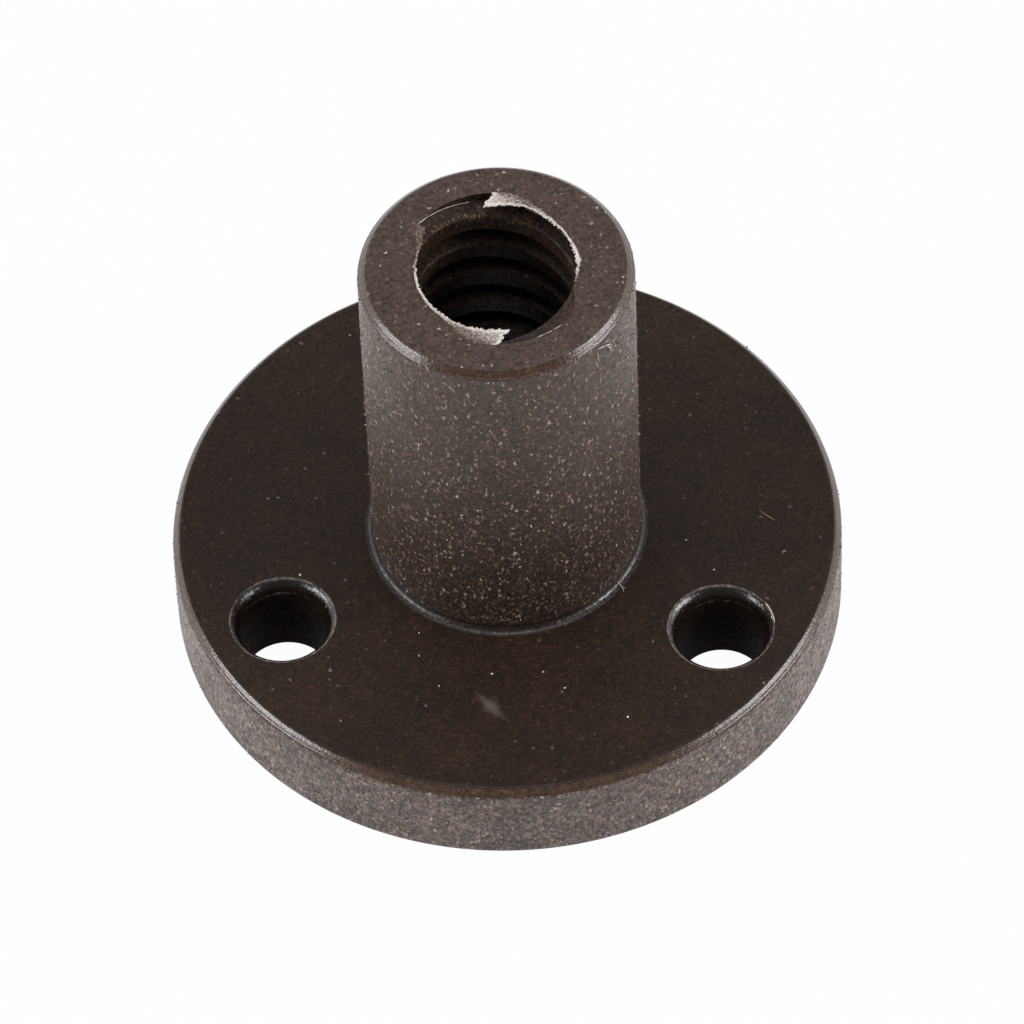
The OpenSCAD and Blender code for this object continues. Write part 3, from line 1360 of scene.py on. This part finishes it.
@dataclass
class FibreEnds:
    """Broken fibre ends that stand out of the rough barrel wall and rim.

    Attributes:
        name: Name of the piece.
        nut: The nut that carries them.
        finish: Look of the fibres.
        count: Number of fibre ends.
        seed: Start of the random draws.
        length: Shortest and longest fibre end.
        width: Thinnest and thickest fibre end.
        tilt: Least and greatest angle between fibre and wall, in degrees.
        rim_share: Share of the fibre ends that stand on the rim.
        rim_lie: Tilt of a fibre end on the rim against one on the barrel.
    """

    name: str
    nut: FlangeNut
    finish: FilledAcetal
    count: int
    seed: int
    length: tuple[float, float] = (0.04, 0.14)
    width: tuple[float, float] = (0.03, 0.075)
    tilt: tuple[float, float] = (5.0, 85.0)
    rim_share: float = 0.35
    rim_lie: float = 0.4

    def build(self) -> Piece:
        """Models one fibre end and copies it over the walls.

        Returns:
            All the fibre ends as one piece in millimetres.
        """
        draw = random.Random(self.seed)
        sliver = self._sliver()
        copies = [place_copy(sliver, self._seat(draw)) for _ in range(self.count)]
        bpy.data.objects.remove(sliver, do_unlink=True)
        return gather(self.name, copies, self.finish)

    def _sliver(self) -> Piece:
        """Models a bent, tapered sliver one unit long and one unit thick.

        Returns:
            The sliver, with its foot at the origin and its tip up.
        """
        bpy.ops.mesh.primitive_cone_add(vertices=5, radius1=0.5, radius2=0.3, depth=0.6,
                                        location=(0, 0, 0.3))
        sliver = start_piece("fibre_end")
        bpy.ops.object.transform_apply(location=True, rotation=True, scale=True)
        pick_faces(sliver, looks_up)
        bpy.ops.mesh.extrude_region_move(TRANSFORM_OT_translate={"value": (0.25, 0.1, 0.4)})
        bpy.ops.transform.resize(value=(0.5, 0.5, 1), center_override=(0.25, 0.1, 1))
        leave_edit()
        return sliver

    def _seat(self, draw: random.Random) -> Matrix:
        """Draws the place, size and lean of one fibre end.

        Args:
            draw: Source of random numbers.

        Returns:
            Matrix that seats the sliver on a wall.
        """
        nut = self.nut
        turn = draw.uniform(0, 360)
        on_rim = draw.random() < self.rim_share
        if on_rim:
            wall_r, low, high = nut.flange_r, 2 * nut.edge_break, nut.flange_t - nut.flange_chamfer_h
        else:
            wall_r, low, high = nut.barrel_r, nut.flange_t + nut.base_fillet, nut.length - nut.barrel_chamfer
        foot = polar(wall_r - nut.wall_relief / 4, turn, draw.uniform(low, high))
        outward = polar(1, turn, 0)
        sideways = Vector((-outward.y, outward.x, 0))
        spin = draw.uniform(0, 2 * math.pi)
        tilt = math.radians(draw.uniform(*self.tilt)) * (self.rim_lie if on_rim else 1.0)
        along = sideways * math.cos(spin) + Vector((0, 0, 1)) * math.sin(spin)
        lean = along * math.cos(tilt) + outward * math.sin(tilt)
        wide = draw.uniform(*self.width)
        size = Matrix.Diagonal((wide, wide, draw.uniform(*self.length), 1))
        return Matrix.Translation(foot) @ lean.to_track_quat("Z", "Y").to_matrix().to_4x4() @ size


@dataclass(frozen=True)
class Strand:
    """One thin strand. Sizes are in millimetres.

    Attributes:
        places: Points along the strand.
        thickness: Greatest thickness of the strand.
    """

    places: tuple[Vector, ...]
    thickness: float


@dataclass
class Swarf:
    """Loose strands that cling to the nut.

    Attributes:
        name: Name of the piece.
        finish: Look of the strands.
        strands: The strands.
    """

    name: str
    finish: FilledAcetal
    strands: tuple[Strand, ...]

    def build(self) -> Piece:
        """Models each strand and joins them.

        Returns:
            All the strands as one piece in millimetres.
        """
        swarf = gather(self.name, [self._pull(strand) for strand in self.strands], self.finish)
        activate(swarf)
        bpy.ops.object.shade_smooth()
        return swarf

    def _pull(self, strand: Strand) -> Piece:
        """Draws a line, rounds its bends and gives it a skin that tapers to both ends.

        Args:
            strand: Points and thickness.

        Returns:
            One closed strand.
        """
        line = draw_line(self.name, list(strand.places))
        apply_modifier(line, "SUBSURF", levels=2, render_levels=2)
        bpy.ops.object.modifier_add(type="SKIN")
        rings = line.data.skin_vertices[0].data
        ends = strand.places[0], strand.places[-1]
        for vertex, ring in zip(line.data.vertices, rings):
            near = min((vertex.co - end).length for end in ends)
            radius = strand.thickness / 2 * mix(0.35, 1.0, smooth(near / (4 * strand.thickness)))
            ring.radius = (radius, 0.6 * radius)
        bpy.ops.object.modifier_apply(modifier=line.modifiers[-1].name)
        apply_modifier(line, "SUBSURF", levels=1, render_levels=1)
        return line


@dataclass
class Crumbs:
    """Torn crumbs that cling to the nut. Sizes are in millimetres.

    Attributes:
        name: Name of the piece.
        finish: Look of the crumbs.
        places: Middle of each crumb.
        size: Smallest and largest crumb.
        seed: Start of the random draws.
    """

    name: str
    finish: FilledAcetal
    places: tuple[Vector, ...]
    size: tuple[float, float] = (0.06, 0.12)
    seed: int = 21

    def build(self) -> Piece:
        """Models one jagged crumb and copies it to each place.

        Returns:
            All the crumbs as one piece in millimetres.
        """
        draw = random.Random(self.seed)
        crumb = self._crumb()
        copies = []
        for place in self.places:
            wide = draw.uniform(*self.size)
            turn = Matrix.Rotation(draw.uniform(0, 2 * math.pi), 4, "Z")
            copies.append(place_copy(crumb, Matrix.Translation(place) @ turn @ Matrix.Diagonal((
                wide, wide * draw.uniform(0.5, 0.9), wide * draw.uniform(0.4, 0.8), 1))))
        bpy.data.objects.remove(crumb, do_unlink=True)
        return gather(self.name, copies, self.finish)

    def _crumb(self) -> Piece:
        """Models a jagged lump one unit wide.

        Returns:
            The lump, about the origin.
        """
        bpy.ops.mesh.primitive_ico_sphere_add(subdivisions=2, radius=0.5)
        crumb = start_piece("crumb")
        bpy.ops.object.mode_set(mode="EDIT")
        bpy.ops.mesh.select_all(action="SELECT")
        bpy.ops.transform.vertex_random(offset=0.16, seed=self.seed)
        bpy.ops.mesh.bisect(plane_co=(0, 0, -0.3), plane_no=(0, 0, 1), use_fill=True, clear_inner=True)
        leave_edit()
        return crumb


def on_barrel(nut: FlangeNut, *places: tuple[float, float]) -> tuple[Vector, ...]:
    """Gives points just off the barrel's wall, from their angles and heights."""
    return tuple(polar(nut.barrel_r + 0.04, turn, height) for turn, height in places)


def on_flange(nut: FlangeNut, *places: tuple[float, float]) -> tuple[Vector, ...]:
    """Gives points on the flange's face, from their X and Y."""
    return tuple(Vector((x, y, nut.flange_t + 0.01)) for x, y in places)


def white_swarf(nut: FlangeNut) -> Swarf:
    """Lists the white strands: a curl near the barrel's end, a fork at its foot, and fine ones on edges.

    Args:
        nut: The nut that carries them.

    Returns:
        The strands.
    """
    hole = nut.hole_place(2)
    lip_r = nut.hole_r + nut.hole_lip[-1][0]
    edge = [hole + polar(lip_r, turn, nut.flange_t + 0.02) for turn in (32, 26, 20, 14, 8, 3)]
    loop = [hole + polar(lip_r - inward, turn, nut.flange_t + 0.03)
            for inward, turn in ((0.0, 14), (0.11, 11), (0.03, 7))]
    fork = [Vector(place) for place in ((4.09, -3.11, 3.74), (4.17, -3.24, 3.71), (4.23, -3.35, 3.69))]
    curl = on_barrel(nut, (-45.5, 18.34), (-42.5, 18.24), (-40.3, 18.13), (-38.3, 18.05), (-36.8, 17.82),
                     (-37.6, 17.70), (-39.2, 17.9), (-39.7, 18.14), (-38.6, 18.0), (-38.0, 17.62))
    runouts = [[polar(nut.root_r - 0.03, turn, nut.back_ridge_height(turn) + 0.17) for turn in turns]
               for turns in ((104, 107, 110, 113), (112, 116, 120, 124), (123, 127, 131, 134),
                             (133, 136, 139, 141))]
    mouth = [[polar(nut.root_r + 0.03, turn, nut.length + 0.005) for turn in turns]
             for turns in ((-67, -65, -63), (-63, -60, -57), (-56, -53, -51))]
    return Swarf("white_swarf", WHITE_SWARF, (
        Strand(curl, 0.045),
        Strand(on_barrel(nut, (-45.9, 18.20), (-45.7, 17.9), (-45.4, 17.63)), 0.05),
        Strand(on_barrel(nut, (-47.2, 17.73), (-46.4, 17.5), (-45.8, 17.30)), 0.045),
        Strand((*fork, Vector((4.29, -3.36, 3.68)), Vector((4.35, -3.36, 3.67))), 0.05),
        Strand((fork[-1], Vector((4.27, -3.45, 3.67)), Vector((4.31, -3.55, 3.66))), 0.04),
        Strand(tuple(edge), 0.05),
        Strand(tuple(loop), 0.035),
        *(Strand(tuple(places), thickness) for places, thickness in zip(runouts, (0.02, 0.025, 0.04, 0.05))),
        *(Strand(tuple(places), thickness) for places, thickness in zip(mouth, (0.04, 0.02, 0.035))),
    ))


def brown_swarf(nut: FlangeNut) -> Swarf:
    """Gives the brown sliver on the flange.

    Args:
        nut: The nut that carries it.

    Returns:
        The sliver.
    """
    sliver = on_flange(nut, (9.6, 0.08), (9.76, -0.07), (9.95, -0.22), (10.15, -0.4))
    return Swarf("brown_swarf", BROWN_SWARF, (Strand(sliver, 0.07),))


def white_crumbs(nut: FlangeNut) -> Crumbs:
    """Lists the white crumbs on the flange and on the barrel.

    Args:
        nut: The nut that carries them.

    Returns:
        The crumbs.
    """
    flange = on_flange(nut, (-3.47, -5.03), (-3.5, -6.11), (-2.79, -7.56), (-0.79, -7.1), (1.12, -7.11),
                       (1.91, -7.9), (4.2, -9.37), (-6.49, -8.99), (6.75, -1.16), (7.74, -2.64),
                       (-7.89, -2.05))
    barrel = on_barrel(nut, (-23.6, 15.81), (-32.0, 16.33))
    return Crumbs("white_crumbs", WHITE_SWARF, flange + barrel)


def lip_crumbs(burr: MouthBurr) -> Crumbs:
    """Scatters white beads along the torn lips' inner edges.

    Args:
        burr: The torn lips.

    Returns:
        The beads.
    """
    draw = random.Random(41)
    nut = burr.nut
    places = []
    for start, (low, high, count) in enumerate(((12, 80, 70), (24, 112, 80))):
        for _ in range(count):
            turn = draw.uniform(low, high)
            lip = burr.station(start, turn)
            places.append(polar(nut.crest_r + lip.inner + draw.uniform(-0.05, 0.03),
                                burr.ridge_turn + 360 * start / nut.starts + turn,
                                nut.length + draw.uniform(0.0, 0.05)))
    return Crumbs("lip_crumbs", WHITE_SWARF, tuple(places), size=(0.03, 0.11), seed=23)


def tan_crumbs(nut: FlangeNut) -> Crumbs:
    """Scatters tan crumbs along the feathered crest in the thread's mouth and where its flank runs out.

    Args:
        nut: The nut that carries them.

    Returns:
        The crumbs.
    """
    draw = random.Random(31)
    # Angle where the back ridge's flank meets the end face at the thread's root
    root_turn = 141
    places = []
    for _ in range(110):
        turn = draw.triangular(70, 165, 140)
        places.append(polar(nut.crest_r + draw.uniform(0.0, 0.12), turn,
                            nut.back_ridge_height(turn) + draw.gauss(-0.04, 0.07)))
    for _ in range(60):
        share = draw.random()
        places.append(polar(mix(nut.root_r, nut.crest_r, share) + draw.gauss(0, 0.04),
                            mix(root_turn, nut.back_ridge_turn, share) + draw.gauss(0, 1.5),
                            nut.length - draw.uniform(0, 0.08)))
    return Crumbs("tan_crumbs", TORN_BROWN, tuple(places), size=(0.03, 0.12), seed=22)


@dataclass(frozen=True)
class Softbox:
    """One soft lamp that faces the nut. Sizes are in metres.

    Attributes:
        turn: Angle round the axis, in degrees.
        rise: Angle above the horizon, in degrees.
        width: Width of its face.
        height: Height of its face.
        radiance: Brightness of its face.
    """

    turn: float
    rise: float
    width: float
    height: float
    radiance: float


@dataclass
class Studio:
    """Floor, light and camera. Sizes are in metres.

    Attributes:
        target: Point on the bore's axis that the camera and the lamps are set round.
        aim: How far right of and above that point the picture's middle lies.
        distance: Distance from the camera to the target.
        rise: Camera's angle above the horizon, in degrees.
        roll: Camera's turn about its own line of sight, in degrees.
        lens: Focal length in millimetres.
        sensor: Width of the camera's sensor in millimetres.
        clip: Nearest and farthest distance that the camera sees.
        lamps: Softboxes on both sides and overhead.
        lamp_distance: Distance of the softboxes.
        room: Brightness of the room in front of and above the white backdrop.
        backdrop_side: Part of a direction along +Y where the backdrop starts and where it is fully white.
        backdrop_top: Upward part of a direction where the backdrop starts to fade and where it ends.
        floor_r: Radius of the floor.
        floor_gap: How far the floor lies below the nut.
        floor_white: Share of the floor's white that doesn't depend on the light.
    """

    target: Vector = field(default_factory=lambda: Vector((0, 0, 0.004445)))
    aim: tuple[float, float] = (0.000218, -0.000084)
    distance: float = 0.3141
    rise: float = 52.02
    roll: float = 2.43
    lens: float = 291.6
    sensor: float = 36.0
    clip: tuple[float, float] = (0.01, 10.0)
    lamps: tuple[Softbox, ...] = (
        Softbox(190, 27, 0.6, 0.24, 10.0),
        Softbox(350, 27, 0.6, 0.24, 10.0),
        Softbox(0, 90, 0.7, 0.7, 1.8),
    )
    lamp_distance: float = 0.9
    room: float = 0.12
    backdrop_side: tuple[float, float] = (-0.1, 0.35)
    backdrop_top: tuple[float, float] = (0.4, 0.65)
    floor_r: float = 1.5
    floor_gap: float = 1e-5
    floor_white: float = 0.97

    def build(self) -> None:
        """Lays the floor, hangs the lights and sets the camera."""
        self._lay_floor()
        self._light_room()
        for lamp in self.lamps:
            self._hang_softbox(lamp)
        self._set_camera()

    def _lay_floor(self) -> None:
        """Lays a round white floor that keeps a soft shadow."""
        bpy.ops.mesh.primitive_circle_add(vertices=64, radius=self.floor_r, fill_type="NGON",
                                          location=(0, 0, -self.floor_gap))
        floor = start_piece("floor")
        material, tree = blank_material("white card, matt")
        card = add_node(tree, "ShaderNodeBsdfDiffuse", {"Color": linear_colour("e8e8e8")}).outputs[0]
        glow = add_node(tree, "ShaderNodeEmission",
                        {"Color": linear_colour("ffffff"), "Strength": 1.0}).outputs[0]
        path = add_node(tree, "ShaderNodeLightPath")
        seen = path.outputs["Is Camera Ray"]
        for kind in ("Is Glossy Ray", "Is Transmission Ray"):
            seen = add_node(tree, "ShaderNodeMath", {0: seen, 1: path.outputs[kind]},
                            operation="MAXIMUM").outputs[0]
        share = add_node(tree, "ShaderNodeMath", {0: seen, 1: self.floor_white},
                         operation="MULTIPLY").outputs[0]
        surface = add_node(tree, "ShaderNodeMixShader", {0: share, 1: card, 2: glow}).outputs[0]
        add_node(tree, "ShaderNodeOutputMaterial", {"Surface": surface})
        floor.data.materials.append(material)

    def _light_room(self) -> None:
        """Gives the dim room a white backdrop behind the nut, which fades out overhead."""
        world = bpy.data.worlds.new("studio")
        bpy.context.scene.world = world
        world.use_nodes = True
        tree = world.node_tree
        tree.nodes.clear()
        way = add_node(tree, "ShaderNodeTexCoord").outputs["Generated"]
        parts = add_node(tree, "ShaderNodeSeparateXYZ", {0: way})
        start, full = self.backdrop_side
        behind = add_node(tree, "ShaderNodeMapRange",
                          {"Value": parts.outputs["Y"], "From Min": start, "From Max": full}).outputs[0]
        fade, top = self.backdrop_top
        level = add_node(tree, "ShaderNodeMapRange",
                         {"Value": parts.outputs["Z"], "From Min": fade, "From Max": top,
                          "To Min": 1.0 - self.room, "To Max": 0.0}).outputs[0]
        white = add_node(tree, "ShaderNodeMath", {0: behind, 1: level, 2: self.room},
                         operation="MULTIPLY_ADD").outputs[0]
        glow = add_node(tree, "ShaderNodeBackground",
                        {"Color": linear_colour("ffffff"), "Strength": white}).outputs[0]
        add_node(tree, "ShaderNodeOutputWorld", {"Surface": glow})

    def _hang_softbox(self, box: Softbox) -> None:
        """Hangs one softbox that faces the nut.

        Args:
            box: The softbox.
        """
        light = bpy.data.lights.new("softbox", type="AREA")
        light.shape = "RECTANGLE"
        light.size, light.size_y = box.width, box.height
        light.energy = box.radiance * math.pi * box.width * box.height
        rise = math.radians(box.rise)
        out = polar(math.cos(rise), box.turn, math.sin(rise))
        lamp = bpy.data.objects.new("softbox", light)
        lamp.location = self.target + out * self.lamp_distance
        lamp.rotation_euler = out.to_track_quat("Z", "Y").to_euler()
        lamp.visible_camera = False
        bpy.context.collection.objects.link(lamp)

    def _set_camera(self) -> None:
        """Places the camera at the photograph's angle."""
        rise, roll = math.radians(self.rise), math.radians(self.roll)
        right = Vector((1, 0, 0))
        up = Vector((0, math.sin(rise), math.cos(rise)))
        back = Vector((0, -math.cos(rise), math.sin(rise)))
        across = right * math.cos(roll) - up * math.sin(roll)
        upward = right * math.sin(roll) + up * math.cos(roll)
        lens = bpy.data.cameras.new("camera")
        lens.lens = self.lens
        lens.sensor_width = self.sensor
        lens.clip_start, lens.clip_end = self.clip
        camera = bpy.data.objects.new("camera", lens)
        place = self.target + across * self.aim[0] + upward * self.aim[1] + back * self.distance
        facing = Matrix((across, upward, back)).transposed().to_4x4()
        camera.matrix_world = Matrix.Translation(place) @ facing
        bpy.context.collection.objects.link(camera)
        bpy.context.scene.camera = camera
        bpy.context.scene.view_settings.view_transform = "Standard"


def hand_over(piece: Piece) -> Piece:
    """Scales a finished piece from millimetres to metres and seats it on the part.

    Args:
        piece: Finished mesh object in millimetres.

    Returns:
        The piece in metres, with its place in its mesh.
    """
    activate(piece)
    piece.scale = (METRES_PER_MM,) * 3
    bpy.ops.object.transform_apply(location=True, rotation=True, scale=True)
    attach(piece, BODY)
    LOG.info("%s: %d faces", piece.name, len(piece.data.polygons))
    return piece


def main() -> None:
    """Builds the pieces in order, lights them and places the camera."""
    logging.basicConfig(level=logging.INFO, format="%(name)s: %(message)s")
    nut = FlangeNut.from_frame()
    body = hand_over(nut.build())
    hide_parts(NODE)
    burr = MouthBurr(nut)
    for part in (
        burr,
        FibreEnds("pale_fibre_ends", nut, PALE_FIBRE, count=1000, seed=11),
        FibreEnds("tan_fibre_ends", nut, TAN_FIBRE, count=1600, seed=12),
        white_swarf(nut),
        brown_swarf(nut),
        white_crumbs(nut),
        lip_crumbs(burr),
        tan_crumbs(nut),
    ):
        hand_over(part.build())
    Studio().build()


if __name__ == "__main__":
    main()
